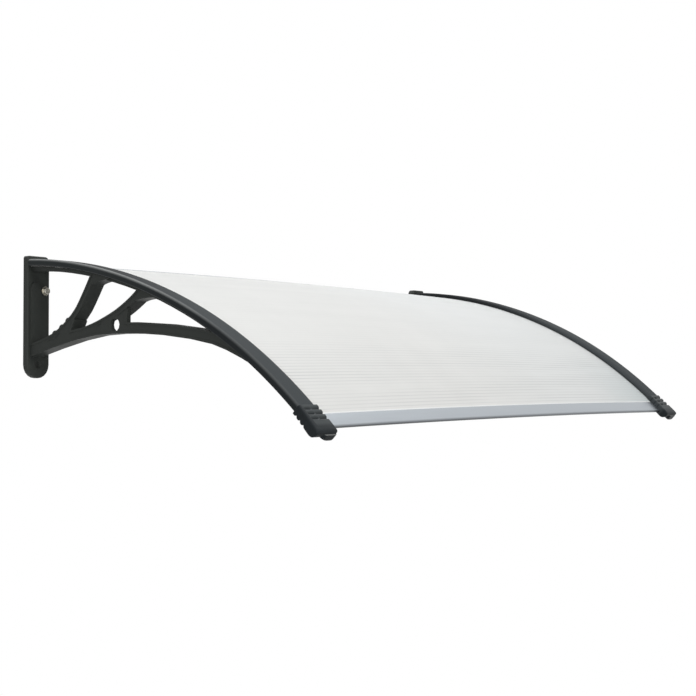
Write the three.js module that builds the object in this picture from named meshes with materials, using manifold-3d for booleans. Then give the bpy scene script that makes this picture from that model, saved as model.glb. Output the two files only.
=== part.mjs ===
// Door canopy: a bowed twin-wall sheet, clamped at each side between a moulded bracket and a cover strip.
// Millimetres, +Z up. The wall is the plane Y = 0 and the canopy reaches out from it towards -Y.
// The origin lies on the wall, midway between the brackets, level with the tops of the cover strips.

import * as THREE from 'three';
import { mergeVertices } from 'three/addons/utils/BufferGeometryUtils.js';
import Module from 'manifold-3d';

const wasm = await Module();
wasm.setup();

// Overall sizes
const SPAN = 1400; // between the outer sides of the two cover strips
const WALL_SLOPE = 0.0295; // fall of the cover strips where they leave the wall, in radians
const REAR_RADIUS = 1196; // bow of the rear half, measured along the top of a cover strip
const REAR_ARC = 462; // length of the rear bow
const FRONT_RADIUS = 1102; // tighter bow of the front half
const CANOPY_LENGTH = 873; // along the bow, from the wall to the front of the end caps
const FIT = 0.3; // clearance between pieces that meet

// Twin-wall sheet
const SHEET_THICKNESS = 4;
const SHEET_SKIN = 0.7;
const FLUTE_PITCH = 9.3;
const FLUTE_RIB = 0.7;
const SHEET_WALL_GAP = 2; // between the rear edge of the sheet and the front of the wall plates
const SHEET_EDGE_GAP = 2; // between the side edge of the sheet and the skirt of the cover strip

// Cover strip: a channel that clamps the edge of the sheet
const COVER_WIDTH = 46;
const COVER_WALL = 4;
const COVER_LIP = 10; // depth of its inner lip, which presses on the sheet
const COVER_OUTER_ROUND = 5;
const COVER_INNER_ROUND = 3;
const COVER_WALL_GAP = 1.4; // between its rear end and the front of the wall plate
const COVER_STEPS = 24;
const BOSS_RADIUS = 5;

// Wall bracket, moulded in one piece
const PLATE_WIDTH = 55;
const PLATE_THICKNESS = 15.5;
const PLATE_TOP = 6.2;
const PLATE_BOTTOM = -243;
const PLATE_OUTER_ROUND = 5;
const PLATE_INNER_ROUND = 10.5;
const PLATE_BEVEL = 1.5;
const LOBE_RADIUS = 27.5; // round lower end of the wall plate
const PAD_PROUD = 3; // raised band down the front of the wall plate
const PAD_FROM = 5;
const PAD_TO = 32;
const PAD_TOP = -48;
const PAD_FOOT = -176;
const SEAT_WIDTH = 20; // curved bar that the sheet lies on
const SEAT_REAR_DEPTH = 9.7;
const SEAT_FRONT_DEPTH = 5.2;
const SEAT_TAPER = 406; // distance from the wall at which it reaches its front depth
const SEAT_STEPS = 24;
const BODY_OUTER = 5.5; // outer face of the struts, measured from the outer side of the cover strip
const BODY_DEPTH = 33;
const OUTER_RECESS = 1;
const WEB_THICKNESS = 9.5;
const FLANGE = 4;
const STRUT_HALF = 6.3; // half the breadth of a strut
const ARM_HALF = 10.6; // half the breadth of the lower arm
const WEB_HOLE_RADIUS = 12.8;
const HOLE_RELIEF = 16; // how much longer the hole is behind the web, towards the wall
const SCALLOP_RADIUS = 9.5;
const SCALLOP_PLACES = [0.575, 0.655, 0.735]; // along the rear strut
const REAR_STRUT_TOP = 215; // where the struts and the arm meet the seat, measured along the bow
const FRONT_STRUT_TOP = 356;
const ARM_FRONT = 679;

// Outlines of the bracket, as (Y, Z) points seen from the side
const REAR_STRUT_LINE = [[-184, -78], [-150.5, -120], [-90.5, -159], [-10, -182]];
const FRONT_STRUT_LINE = [[-185, -148.5], [-223, -138], [-275, -118], [-318, -94]];
const ARM_LINE = [[-10, -191], [-64, -176.5], [-185, -152.5], [-280, -146.7], [-396, -151.7], [-512.5, -167],
  [-579, -186.5]];
const ROOT_GUSSET = [[-77.5, -161], [-148, -120], [-153.5, -130], [-146, -143.5], [-138.5, -163],
  [-77.5, -175.5]];
const ROOT_POCKET = [[-92, -164.5], [-140.5, -128], [-147, -131], [-141.5, -142.5], [-136, -161],
  [-92, -169.5]];
const WEB_PANEL = [[-185, -150.5], [-280, -115], [-305, -99.5], [-305, -146], [-242, -148.5]];
const WEB_POCKET = [[-206, -148.5], [-276, -118], [-280, -124], [-314, -105], [-314, -134.5], [-300, -139],
  [-280, -149.5], [-206, -152.5]];
const WEB_HOLE = [-271, -140.5];
const REAR_FILLET = [[-199.4, -62.1], [-211, -55.5]]; // its foot on the strut, and the bend of its curve
const FRONT_FILLET = [[-326.5, -97], [-338, -92.5]];
const FILLET_REACH = 32; // length of a fillet along the underside of the seat
const FILLET_RUN_OUT = 16; // how much further it reaches beside the seat

// Fasteners
const SCREW_PLACES = [102, 266, 426, 690]; // along the bow, from the wall
const LAST_SCREW_INSET = 24; // of one more screw, from the rear of the end cap
const SCREW_RADIUS = 2;
const SCREW_HEAD_RADIUS = 4.4;
const SCREW_HEAD_FACE = 3.6;
const SCREW_HEAD_HEIGHT = 3;
const SCREW_TIP_COVER = 1.6; // plastic left above the blind end of a screw hole
const DRIVE_LENGTH = 4.6;
const DRIVE_WIDTH = 1.2;
const DRIVE_DEPTH = 1.6;
const BOLT_RADIUS = 4;
const BOLT_HEAD_RADIUS = 7.8;
const BOLT_HEAD_HEIGHT = 6;
const BOLT_CHAMFER = 1.6;
const BOLT_INSET = 43.6; // from the outer side of the wall plate
const BOLT_HEIGHT = -64;
const BOLT_END = 1; // distance of the end of the bolt from the back of the plate
const WASHER_RADIUS = 9.3;
const WASHER_THICKNESS = 1.8;
const COUNTERSINK_RADIUS = 8;
const COUNTERSINK_DEPTH = 4;

// Edge strips of aluminium
const STRIP_WALL = 1.5;
const FRONT_STRIP_INSET = 21; // of its nose, from the front of the end caps
const FRONT_STRIP_TOP = 31; // length of its upper flange
const FRONT_STRIP_UNDER = 23; // length of its lower flange
const NOSE_SPACE = 4; // between the front edge of the sheet and the inside of the nose
const REAR_STRIP_WALL_GAP = 2;
const REAR_STRIP_TOP = 36;
const REAR_STRIP_UNDER = 18;
const REAR_STRIP_END_GAP = 1; // between its ends and the wall plates

// End cap
const CAP_LENGTH = 65;
const CAP_PROUD = 2; // above the top of the cover strip
const CAP_OUTER_SIDE = 2; // beyond the outer side of the cover strip
const CAP_INNER_SIDE = 1; // beyond its inner side
const CAP_FLARE = 5; // how far the outer side spreads towards the front
const CAP_UNDER = 18.5; // depth of its underside below the top of the cover strip
const CAP_STEPS = 3;
const CAP_RIDGES = 4;
const RIDGE_PITCH = 11.6;
const FIRST_GROOVE = 7;
const GROOVE_WIDTH = 4.2;
const GROOVE_DEPTH = 2.4;
const GROOVE_MARGIN = 6.5; // plain edge beside the grooves, on the left of both caps
const NOSE_ROUND = 9.5;
const NOSE_UNDER_ROUND = 15;
const LIP_DROP = 21.5; // depth of the lower lip of the nose
const LIP_LENGTH = 21;
const LIP_INSET = 1; // of the lip, behind the front of the nose
const LIP_ROUND = 4.5;
const LIP_LEFT_MARGIN = 17;
const LIP_RIGHT_MARGIN = 0.5;

// Values that follow from the driving sizes
const OVERCUT = 2; // how far a joining or cutting body reaches past the face that it meets
const LEFT = -SPAN / 2;
const CAP_REAR = CANOPY_LENGTH - CAP_LENGTH;
const FRONT_STRIP_FRONT = CANOPY_LENGTH - FRONT_STRIP_INSET;
const FRONT_STRIP_REAR = FRONT_STRIP_FRONT - FRONT_STRIP_TOP;
const SHEET_TOP = COVER_LIP + FIT;
const SHEET_UNDER = SHEET_TOP + SHEET_THICKNESS;
const SHEET_EDGE = COVER_WALL + SHEET_EDGE_GAP;
const SHEET_REAR = PLATE_THICKNESS + SHEET_WALL_GAP;
const SHEET_FRONT = FRONT_STRIP_FRONT - STRIP_WALL - NOSE_SPACE;
const COVER_SKIRT = SHEET_UNDER - FIT;
const COVER_REAR = PLATE_THICKNESS + COVER_WALL_GAP;
const COVER_FRONT = CAP_REAR - FIT;
const SEAT_TOP = SHEET_UNDER + FIT;
const SEAT_FRONT = CAP_REAR - FIT;
const SEAT_MIDDLE = BODY_OUTER + BODY_DEPTH / 2;
const BODY_INNER = BODY_OUTER + BODY_DEPTH;
const WEB_OUTER = BODY_OUTER + OUTER_RECESS;
const WEB_INNER = WEB_OUTER + WEB_THICKNESS;
const LOBE_HEIGHT = PLATE_BOTTOM + LOBE_RADIUS;
const SCREW_HOLE = SCREW_RADIUS + FIT;
const BOLT_HOLE = BOLT_RADIUS + FIT;
const SCREWS = [...SCREW_PLACES, CAP_REAR - LAST_SCREW_INSET];
const REAR_STRUT = spline([onBow(REAR_STRUT_TOP, -SHEET_TOP), ...REAR_STRUT_LINE]);
const FRONT_STRUT = spline([...FRONT_STRUT_LINE, onBow(FRONT_STRUT_TOP, -SHEET_TOP)]);
const LOWER_ARM = spline([...ARM_LINE, onBow(ARM_FRONT, -COVER_WALL)]);

const BLACK_PLASTIC = { color: 0x2f3332, roughness: 0.5, metalness: 0 };
const COVER_PLASTIC = { color: 0x3a4043, roughness: 0.38, metalness: 0 };
const CAP_PLASTIC = { color: 0x33383c, roughness: 0.45, metalness: 0 };
const CLEAR_SHEET = { color: 0xe4e9ec, roughness: 0.25, metalness: 0 };
const ALUMINIUM = { color: 0xbcc3c8, roughness: 0.35, metalness: 1 };
const STEEL = { color: 0x9a9790, roughness: 0.4, metalness: 1 };

// Joining and cutting

function solid(geometry) {
  const plain = geometry.clone();
  plain.deleteAttribute('normal');
  plain.deleteAttribute('uv');
  const merged = mergeVertices(plain, 1e-4);
  return new wasm.Manifold(new wasm.Mesh({
    numProp: 3,
    vertProperties: new Float32Array(merged.attributes.position.array),
    triVerts: new Uint32Array(merged.index.array),
  }));
}

function joined(geometries) {
  return geometries.map(solid).reduce((whole, piece) => whole.add(piece));
}

function geometryOf(body) {
  const { vertProperties, triVerts } = body.getMesh();
  const geometry = new THREE.BufferGeometry();
  geometry.setAttribute('position', new THREE.BufferAttribute(vertProperties, 3));
  geometry.setIndex(new THREE.BufferAttribute(triVerts, 1));
  return geometry;
}

function mirrored(geometry) {
  const copy = geometry.clone().scale(-1, 1, 1);
  const index = copy.index.array;
  for (let i = 0; i < index.length; i += 3) {
    [index[i], index[i + 1]] = [index[i + 1], index[i]];
  }
  return copy;
}

// The bow. A piece is first drawn straight, with x measured inwards from the outer side of the left
// cover strip, y as height above the top of that strip and z as distance from the wall along the bow.

function onBow(distance, height) {
  const rear = Math.min(distance, REAR_ARC);
  const middle = WALL_SLOPE + rear / REAR_RADIUS;
  const slope = middle + (distance - rear) / FRONT_RADIUS;
  const reach = REAR_RADIUS * (Math.sin(middle) - Math.sin(WALL_SLOPE))
    + FRONT_RADIUS * (Math.sin(slope) - Math.sin(middle));
  const fall = REAR_RADIUS * (Math.cos(WALL_SLOPE) - Math.cos(middle))
    + FRONT_RADIUS * (Math.cos(middle) - Math.cos(slope));
  return [-reach - height * Math.sin(slope), -fall + height * Math.cos(slope)];
}

function bend(geometry) {
  const position = geometry.attributes.position;
  for (let i = 0; i < position.count; i += 1) {
    const [y, z] = onBow(position.getZ(i), position.getY(i));
    position.setXYZ(i, LEFT + position.getX(i), y, z);
  }
  return geometry;
}

function seatUnder(distance) {
  const share = Math.min(1, distance / SEAT_TAPER);
  return SEAT_TOP + THREE.MathUtils.lerp(SEAT_REAR_DEPTH, SEAT_FRONT_DEPTH, share);
}

// Shapes

function polygon(points) {
  return new THREE.Shape(points.map(([a, b]) => new THREE.Vector2(a, b)));
}

function rectangle(a0, a1, b0, b1) {
  return polygon([[a0, b0], [a1, b0], [a1, b1], [a0, b1]]);
}

function disc(a, b, radius) {
  return new THREE.Shape().absarc(a, b, radius, 0, 2 * Math.PI);
}

function slot(y, z, radius, length) {
  const shape = new THREE.Shape();
  shape.absarc(y, z, radius, Math.PI / 2, 1.5 * Math.PI);
  shape.absarc(y + length, z, radius, -Math.PI / 2, Math.PI / 2);
  return shape;
}

function spline(points) {
  return new THREE.SplineCurve(points.map(([y, z]) => new THREE.Vector2(y, z)));
}

// A bar of given half breadth along a centre line.
function bar(curve, half, divisions = 12) {
  const upper = [];
  const lower = [];
  for (let i = 0; i <= divisions; i += 1) {
    const point = curve.getPoint(i / divisions);
    const tangent = curve.getTangent(i / divisions);
    const offset = new THREE.Vector2(-tangent.y, tangent.x).multiplyScalar(half);
    upper.push(point.clone().add(offset));
    lower.unshift(point.clone().sub(offset));
  }
  return new THREE.Shape([...upper, ...lower]);
}

// A concave fillet in the corner between a strut, touched at the foot, and the underside of the seat.
function fillet(distance, [foot, curve]) {
  const end = distance + FILLET_REACH;
  const shape = new THREE.Shape();
  shape.moveTo(...onBow(distance, -SEAT_TOP));
  shape.lineTo(...foot);
  shape.quadraticCurveTo(...curve, ...onBow(end, -seatUnder(end)));
  shape.lineTo(...onBow(end + FILLET_RUN_OUT, -SEAT_TOP));
  return shape;
}

// Solids

// A section drawn in x and y, run straight from one distance to another.
function run(section, from, to, steps = 1) {
  const options = { depth: to - from, steps, bevelEnabled: false, curveSegments: 2 };
  return new THREE.ExtrudeGeometry(section, options).translate(0, 0, from);
}

function block(x0, x1, y0, y1, z0, z1, steps = 1) {
  return run(rectangle(x0, x1, y0, y1), z0, z1, steps);
}

// An upright round bar of the straight drawing.
function upright(radius, x, y0, y1, z, sides = 8) {
  return new THREE.CylinderGeometry(radius, radius, y1 - y0, sides).translate(x, (y0 + y1) / 2, z);
}

// A (Y, Z) outline given thickness along X, between two distances from the outer side of the cover strip.
function slab(shape, from, to) {
  const options = { depth: to - from, bevelEnabled: false, curveSegments: 6 };
  const turn = new THREE.Matrix4().set(0, 0, 1, 0, 1, 0, 0, 0, 0, 1, 0, 0, 0, 0, 0, 1);
  return new THREE.ExtrudeGeometry(shape, options).applyMatrix4(turn).translate(LEFT + from, 0, 0);
}

// A section drawn as (distance, height), laid on the bow and given thickness along X.
function across(section, from, to) {
  const laid = ({ x, y }) => new THREE.Vector2(...onBow(x, y));
  const { shape, holes } = section.extractPoints(3);
  const outline = new THREE.Shape(shape.map(laid));
  outline.holes = holes.map((hole) => new THREE.Path(hole.map(laid)));
  return slab(outline, from, to);
}

// A round body along Y, given as (radius, distance from the wall) from the far end to the wall end.
function lathed(profile, x, z, sides) {
  const points = profile.map(([radius, distance]) => new THREE.Vector2(radius, -distance));
  return new THREE.LatheGeometry(points, sides).translate(x, 0, z);
}

// Sheet: two skins joined by ribs, with the flutes running from side to side

function makeSheet() {
  const flutes = Math.floor((SHEET_FRONT - SHEET_REAR - FLUTE_RIB) / FLUTE_PITCH);
  const first = (SHEET_FRONT + SHEET_REAR - flutes * FLUTE_PITCH) / 2;
  const ribs = Array.from({ length: flutes + 1 }, (_, i) => first + i * FLUTE_PITCH);
  const stations = [SHEET_REAR, ...ribs, SHEET_FRONT];
  const upper = stations.map((distance) => [distance, -SHEET_TOP]);
  const lower = stations.map((distance) => [distance, -SHEET_UNDER]).reverse();
  const section = polygon([...upper, ...lower]);
  section.holes = ribs.slice(0, -1).map((rib) => rectangle(
    rib + FLUTE_RIB / 2,
    rib + FLUTE_PITCH - FLUTE_RIB / 2,
    -SHEET_UNDER + SHEET_SKIN,
    -SHEET_TOP - SHEET_SKIN,
  ));
  const sheet = solid(across(section, SHEET_EDGE, SPAN - SHEET_EDGE));
  const holes = SCREWS.flatMap((place) => [SEAT_MIDDLE, SPAN - SEAT_MIDDLE].map((x) =>
    bend(upright(SCREW_HOLE, x, -SHEET_UNDER - OVERCUT, -SHEET_TOP + OVERCUT, place))));
  return geometryOf(sheet.subtract(joined(holes)));
}

// Cover strip with the bosses that take the screws from below

function makeCover() {
  const inner = COVER_WIDTH - COVER_INNER_ROUND;
  const section = new THREE.Shape();
  section.moveTo(0, -COVER_SKIRT);
  section.lineTo(COVER_WALL, -COVER_SKIRT);
  section.lineTo(COVER_WALL, -COVER_WALL);
  section.lineTo(COVER_WIDTH - COVER_WALL, -COVER_WALL);
  section.lineTo(COVER_WIDTH - COVER_WALL, -COVER_LIP);
  section.lineTo(COVER_WIDTH, -COVER_LIP);
  section.absarc(inner, -COVER_INNER_ROUND, COVER_INNER_ROUND, 0, Math.PI / 2);
  section.absarc(COVER_OUTER_ROUND, -COVER_OUTER_ROUND, COVER_OUTER_ROUND, Math.PI / 2, Math.PI);
  const channel = solid(bend(run(section, COVER_REAR, COVER_FRONT, COVER_STEPS)));
  const bossTop = -COVER_WALL + OVERCUT / 2;
  const bosses = SCREWS.map((place) =>
    bend(upright(BOSS_RADIUS, SEAT_MIDDLE, -COVER_LIP, bossTop, place, 10)));
  const holes = SCREWS.map((place) =>
    bend(upright(SCREW_HOLE, SEAT_MIDDLE, -COVER_LIP - OVERCUT, -SCREW_TIP_COVER, place)));
  return geometryOf(channel.add(joined(bosses)).subtract(joined(holes)));
}

// Bracket

function makePlate() {
  const x1 = LEFT + PLATE_WIDTH;
  const middle = LEFT + PLATE_WIDTH / 2;
  const meet = Math.acos(PLATE_WIDTH / 2 / LOBE_RADIUS);
  const [outer, inner] = [PLATE_OUTER_ROUND, PLATE_INNER_ROUND];
  const shape = new THREE.Shape();
  shape.absarc(LEFT + outer, PLATE_TOP - outer, outer, Math.PI / 2, Math.PI);
  shape.absarc(middle, LOBE_HEIGHT, LOBE_RADIUS, Math.PI - meet, 2 * Math.PI + meet);
  shape.absarc(x1 - inner, PLATE_TOP - inner, inner, 0, Math.PI / 2);
  const options = {
    depth: PLATE_THICKNESS - 2 * PLATE_BEVEL,
    curveSegments: 5,
    bevelSize: PLATE_BEVEL,
    bevelOffset: -PLATE_BEVEL,
    bevelThickness: PLATE_BEVEL,
    bevelSegments: 1,
  };
  const plate = new THREE.ExtrudeGeometry(shape, options)
    .translate(0, 0, PLATE_BEVEL)
    .rotateX(Math.PI / 2);
  const padRound = (PAD_TO - PAD_FROM) / 2;
  const padShape = new THREE.Shape();
  padShape.moveTo(LEFT + PAD_FROM, PAD_FOOT);
  padShape.lineTo(LEFT + PAD_TO, PAD_FOOT);
  padShape.absarc(LEFT + PAD_FROM + padRound, PAD_TOP - padRound, padRound, 0, Math.PI);
  const padOptions = { depth: PLATE_THICKNESS / 2 + PAD_PROUD, bevelEnabled: false, curveSegments: 4 };
  const pad = new THREE.ExtrudeGeometry(padShape, padOptions)
    .translate(0, 0, PLATE_THICKNESS / 2)
    .rotateX(Math.PI / 2);
  return joined([plate, pad]);
}

// The struts, the arm and the pierced web: flanged bars with a thin middle, trimmed under the seat.
function makeFrame() {
  const curves = [[REAR_STRUT, STRUT_HALF], [LOWER_ARM, ARM_HALF], [FRONT_STRUT, STRUT_HALF]];
  const fullDepth = [
    ...curves.map(([curve, half]) => bar(curve, half)),
    ...SCALLOP_PLACES.map((place) => disc(...REAR_STRUT.getPoint(place), SCALLOP_RADIUS)),
    fillet(REAR_STRUT_TOP, REAR_FILLET),
    fillet(FRONT_STRUT_TOP, FRONT_FILLET),
    polygon(ROOT_GUSSET),
  ];
  const frame = joined([
    ...fullDepth.map((shape) => slab(shape, BODY_OUTER, BODY_INNER)),
    slab(polygon(WEB_PANEL), WEB_OUTER, WEB_INNER),
  ]);
  const hollows = [
    ...curves.map(([curve, half]) => bar(curve, half - FLANGE)),
    polygon(ROOT_POCKET),
    polygon(WEB_POCKET),
  ];
  const pockets = joined(hollows.flatMap((shape) => [
    slab(shape, BODY_OUTER - OVERCUT, WEB_OUTER),
    slab(shape, WEB_INNER, BODY_INNER + OVERCUT),
  ]));
  const bore = joined([
    slab(disc(...WEB_HOLE, WEB_HOLE_RADIUS), BODY_OUTER - OVERCUT, BODY_INNER + OVERCUT),
    slab(slot(...WEB_HOLE, WEB_HOLE_RADIUS, HOLE_RELIEF), WEB_INNER, BODY_INNER + OVERCUT),
  ]);
  const above = bend(block(0, PLATE_WIDTH, -SEAT_TOP, SEAT_TOP, 0, SEAT_FRONT, SEAT_STEPS));
  return frame.subtract(pockets).subtract(bore).subtract(solid(above));
}

function makeSeat() {
  const rear = PLATE_THICKNESS / 2;
  const stations = Array.from({ length: SEAT_STEPS + 1 }, (_, i) =>
    THREE.MathUtils.lerp(rear, SEAT_FRONT, i / SEAT_STEPS));
  const upper = stations.map((distance) => [distance, -SEAT_TOP]);
  const lower = stations.map((distance) => [distance, -seatUnder(distance)]).reverse();
  const section = polygon([...upper, ...lower]);
  return solid(across(section, SEAT_MIDDLE - SEAT_WIDTH / 2, SEAT_MIDDLE + SEAT_WIDTH / 2));
}

function makeBracket() {
  const screwHoles = SCREWS.flatMap((place) => {
    const under = -seatUnder(place);
    const headTop = under + SCREW_HEAD_HEIGHT + FIT;
    return [
      bend(upright(SCREW_HOLE, SEAT_MIDDLE, under - OVERCUT, -SEAT_TOP + OVERCUT, place)),
      bend(upright(SCREW_HEAD_RADIUS + FIT, SEAT_MIDDLE, under - OVERCUT, headTop, place, 10)),
    ];
  });
  const through = PLATE_THICKNESS + PAD_PROUD + OVERCUT;
  const boltHole = lathed([
    [0, through],
    [BOLT_HOLE, through],
    [BOLT_HOLE, -OVERCUT],
    [0, -OVERCUT],
  ], LEFT + BOLT_INSET, BOLT_HEIGHT, 16);
  const lowerHole = lathed([
    [0, through],
    [COUNTERSINK_RADIUS, through],
    [COUNTERSINK_RADIUS, PLATE_THICKNESS],
    [BOLT_HOLE, PLATE_THICKNESS - COUNTERSINK_DEPTH],
    [BOLT_HOLE, -OVERCUT],
    [0, -OVERCUT],
  ], LEFT + PLATE_WIDTH / 2, LOBE_HEIGHT, 20);
  const whole = makePlate().add(makeFrame()).add(makeSeat());
  return geometryOf(whole.subtract(joined([...screwHoles, boltHole, lowerHole])));
}

// Fasteners

// A screw with its head sunk flush into the underside of the seat.
function makeScrew(place) {
  const under = -seatUnder(place);
  const top = under + SCREW_HEAD_HEIGHT;
  const head = new THREE.CylinderGeometry(SCREW_HEAD_RADIUS, SCREW_HEAD_FACE, SCREW_HEAD_HEIGHT, 10)
    .translate(SEAT_MIDDLE, (top + under) / 2, place);
  const shank = upright(SCREW_RADIUS, SEAT_MIDDLE, top - FIT, -SCREW_TIP_COVER - FIT, place, 6);
  const half = DRIVE_LENGTH / 2;
  const slim = DRIVE_WIDTH / 2;
  const low = under - OVERCUT;
  const high = under + DRIVE_DEPTH;
  const drive = [
    block(SEAT_MIDDLE - half, SEAT_MIDDLE + half, low, high, place - slim, place + slim),
    block(SEAT_MIDDLE - slim, SEAT_MIDDLE + slim, low, high, place - half, place + half),
  ];
  return geometryOf(joined([bend(head), bend(shank)]).subtract(joined(drive.map(bend))));
}

function makeWasher() {
  const near = PLATE_THICKNESS + FIT;
  const far = near + WASHER_THICKNESS;
  const ring = [
    [BOLT_HOLE, far],
    [WASHER_RADIUS, far],
    [WASHER_RADIUS, near],
    [BOLT_HOLE, near],
    [BOLT_HOLE, far],
  ];
  return geometryOf(solid(lathed(ring, LEFT + BOLT_INSET, BOLT_HEIGHT, 16)));
}

function makeBolt() {
  const seat = PLATE_THICKNESS + WASHER_THICKNESS + 2 * FIT;
  const end = seat + BOLT_HEAD_HEIGHT;
  const x = LEFT + BOLT_INSET;
  const hexagon = new THREE.CylinderGeometry(BOLT_HEAD_RADIUS, BOLT_HEAD_RADIUS, BOLT_HEAD_HEIGHT, 6)
    .translate(x, -(seat + end) / 2, BOLT_HEIGHT);
  const chamfer = lathed([
    [0, end],
    [BOLT_HEAD_RADIUS - BOLT_CHAMFER, end],
    [BOLT_HEAD_RADIUS + FIT, end - BOLT_CHAMFER],
    [BOLT_HEAD_RADIUS + FIT, 0],
    [0, 0],
  ], x, BOLT_HEIGHT, 18);
  const shank = lathed([
    [0, seat + FIT],
    [BOLT_RADIUS, seat + FIT],
    [BOLT_RADIUS, BOLT_END],
    [0, BOLT_END],
  ], x, BOLT_HEIGHT, 10);
  return geometryOf(solid(hexagon).intersect(solid(chamfer)).add(solid(shank)));
}

// Aluminium edge strips, both drawn as sections of (distance, height)

function makeFrontStrip() {
  const top = -SHEET_TOP + FIT;
  const under = -SHEET_UNDER - FIT;
  const inside = SHEET_FRONT + FIT;
  const radius = (top - under) / 2 + STRIP_WALL;
  const lowerRear = FRONT_STRIP_FRONT - FRONT_STRIP_UNDER;
  const section = new THREE.Shape();
  section.moveTo(FRONT_STRIP_REAR, top);
  section.lineTo(inside, top);
  section.lineTo(inside, under);
  section.lineTo(lowerRear, under);
  section.lineTo(lowerRear, under - STRIP_WALL);
  section.absarc(FRONT_STRIP_FRONT - radius, (top + under) / 2, radius, -Math.PI / 2, Math.PI / 2);
  section.lineTo(FRONT_STRIP_REAR, top + STRIP_WALL);
  return geometryOf(solid(across(section, SHEET_EDGE, SPAN - SHEET_EDGE)));
}

function makeRearStrip() {
  const top = -SHEET_TOP + FIT;
  const under = -SHEET_UNDER - FIT;
  const web = SHEET_REAR - FIT;
  const rear = REAR_STRIP_WALL_GAP;
  const section = polygon([
    [rear, top + STRIP_WALL],
    [rear, top],
    [web - STRIP_WALL, top],
    [web - STRIP_WALL, under - STRIP_WALL],
    [web + REAR_STRIP_UNDER, under - STRIP_WALL],
    [web + REAR_STRIP_UNDER, under],
    [web, under],
    [web, top],
    [rear + REAR_STRIP_TOP, top],
    [rear + REAR_STRIP_TOP, top + STRIP_WALL],
  ]);
  const end = PLATE_WIDTH + REAR_STRIP_END_GAP;
  return geometryOf(solid(across(section, end, SPAN - end)));
}

// End cap: a ridged shoe over the front corner of the sheet and the end of the front strip

// Spreads the outer side of the cap towards its front.
function flared(geometry) {
  const position = geometry.attributes.position;
  const [rear] = onBow(CAP_REAR, 0);
  const [front] = onBow(CANOPY_LENGTH, 0);
  for (let i = 0; i < position.count; i += 1) {
    const share = (position.getY(i) - rear) / (front - rear);
    if (position.getX(i) < LEFT) position.setX(i, position.getX(i) - share * CAP_FLARE);
  }
  return geometry;
}

// It is drawn as the left cap. The right one is mirrored afterwards, except for its lip and the
// grooves on its top, which face the same way on both caps and so are drawn the other way round.
function makeCap(toBeMirrored) {
  const outer = -CAP_OUTER_SIDE;
  const inner = COVER_WIDTH + CAP_INNER_SIDE;
  const front = CANOPY_LENGTH;
  const profile = new THREE.Shape();
  profile.moveTo(CAP_REAR, CAP_PROUD);
  profile.lineTo(CAP_REAR, -CAP_UNDER);
  profile.lineTo(front - NOSE_UNDER_ROUND, -CAP_UNDER);
  profile.quadraticCurveTo(front, -CAP_UNDER, front, -CAP_UNDER + NOSE_UNDER_ROUND);
  profile.quadraticCurveTo(front, CAP_PROUD, front - NOSE_ROUND, CAP_PROUD);
  const lipOuter = outer + (toBeMirrored ? LIP_RIGHT_MARGIN : LIP_LEFT_MARGIN);
  const lipInner = inner - (toBeMirrored ? LIP_LEFT_MARGIN : LIP_RIGHT_MARGIN);
  const lipCentre = -LIP_DROP + LIP_ROUND;
  const lip = new THREE.Shape();
  lip.moveTo(lipInner, -CAP_UNDER + OVERCUT);
  lip.lineTo(lipOuter, -CAP_UNDER + OVERCUT);
  lip.absarc(lipOuter + LIP_ROUND, lipCentre, LIP_ROUND, Math.PI, 1.5 * Math.PI);
  lip.absarc(lipInner - LIP_ROUND, lipCentre, LIP_ROUND, 1.5 * Math.PI, 2 * Math.PI);
  const body = joined([
    flared(across(profile, outer, inner)),
    bend(run(lip, front - LIP_LENGTH, front - LIP_INSET, CAP_STEPS)),
  ]);
  const grooveSides = toBeMirrored
    ? [outer - CAP_FLARE - OVERCUT, inner - GROOVE_MARGIN]
    : [outer + GROOVE_MARGIN, inner + OVERCUT];
  const grooves = Array.from({ length: CAP_RIDGES - 1 }, (_, i) => {
    const rear = CAP_REAR + FIRST_GROOVE + RIDGE_PITCH * i;
    const above = [CAP_PROUD - GROOVE_DEPTH, CAP_PROUD + OVERCUT];
    const below = [-CAP_UNDER - OVERCUT, -CAP_UNDER + GROOVE_DEPTH / 2];
    return [
      block(...grooveSides, ...above, rear, rear + GROOVE_WIDTH),
      block(outer - CAP_FLARE - OVERCUT, inner + OVERCUT, ...below, rear, rear + GROOVE_WIDTH),
    ];
  });
  const room = (top, under, rear, end) =>
    block(SHEET_EDGE - FIT, inner + OVERCUT, -under, -top, rear, end, CAP_STEPS);
  const rooms = [
    room(SHEET_TOP - FIT, SHEET_UNDER + FIT, CAP_REAR - OVERCUT, FRONT_STRIP_REAR),
    room(
      SHEET_TOP - STRIP_WALL - 2 * FIT,
      SHEET_UNDER + STRIP_WALL + 2 * FIT,
      FRONT_STRIP_REAR - FIT,
      FRONT_STRIP_FRONT + FIT,
    ),
  ];
  const cuts = [...grooves.flat(), ...rooms].map(bend);
  return geometryOf(body.subtract(joined(cuts)));
}

// Assembly

const canopy = new THREE.Group();

function add(name, geometry, finish) {
  const mesh = new THREE.Mesh(geometry, new THREE.MeshStandardMaterial(finish));
  mesh.name = name;
  geometry.computeVertexNormals();
  canopy.add(mesh);
}

function addPair(name, geometry, finish) {
  add(`left_${name}`, geometry, finish);
  add(`right_${name}`, mirrored(geometry), finish);
}

add('canopy_sheet', makeSheet(), CLEAR_SHEET);
add('front_edge_strip', makeFrontStrip(), ALUMINIUM);
add('rear_edge_strip', makeRearStrip(), ALUMINIUM);
addPair('wall_bracket', makeBracket(), BLACK_PLASTIC);
addPair('cover_strip', makeCover(), COVER_PLASTIC);
add('left_end_cap', makeCap(false), CAP_PLASTIC);
add('right_end_cap', mirrored(makeCap(true)), CAP_PLASTIC);
addPair('wall_washer', makeWasher(), STEEL);
addPair('wall_bolt', makeBolt(), STEEL);
SCREWS.forEach((place, i) => addPair(`strip_screw_${i + 1}`, makeScrew(place), STEEL));

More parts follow.
